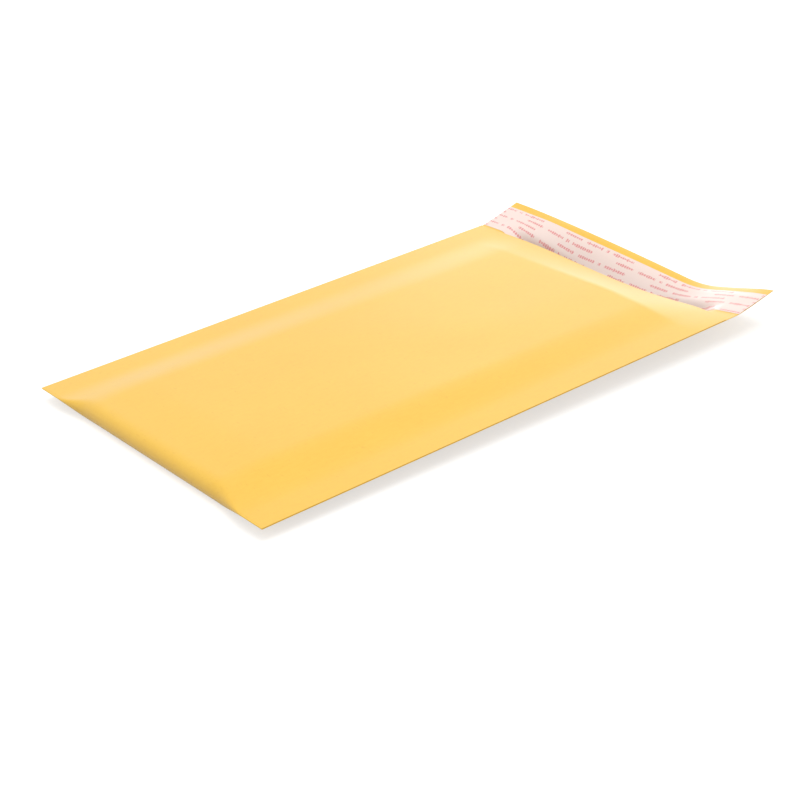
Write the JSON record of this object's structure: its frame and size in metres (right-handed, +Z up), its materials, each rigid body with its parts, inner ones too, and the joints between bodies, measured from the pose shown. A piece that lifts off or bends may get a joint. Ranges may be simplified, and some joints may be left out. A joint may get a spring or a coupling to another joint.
{
  "type": "bubble mailer",
  "caption": "Padded kraft paper mailer with a bubble film lining, an open mouth and a self-seal flap under a peel-off liner.",
  "frame": {"origin": "middle of the footprint, on the surface that the back panel lies on", "axes": "+X across the mailer, +Y from the bottom fold to the flap, +Z up, out of the front panel"},
  "size_m": [0.16, 0.2564, 0.017],
  "materials": {
    "kraft_paper": "satin golden kraft",
    "bubble_film": "clear polyethylene film",
    "hot_melt_glue": "tacky translucent",
    "release_paper": "thin silicone-coated pink film"
  },
  "bodies": {
    "root": {"kraft_envelope": "kraft_paper", "bubble_lining": "bubble_film", "glue_strip": "hot_melt_glue", "release_liner": "release_paper"}
  },
  "joints": []
}
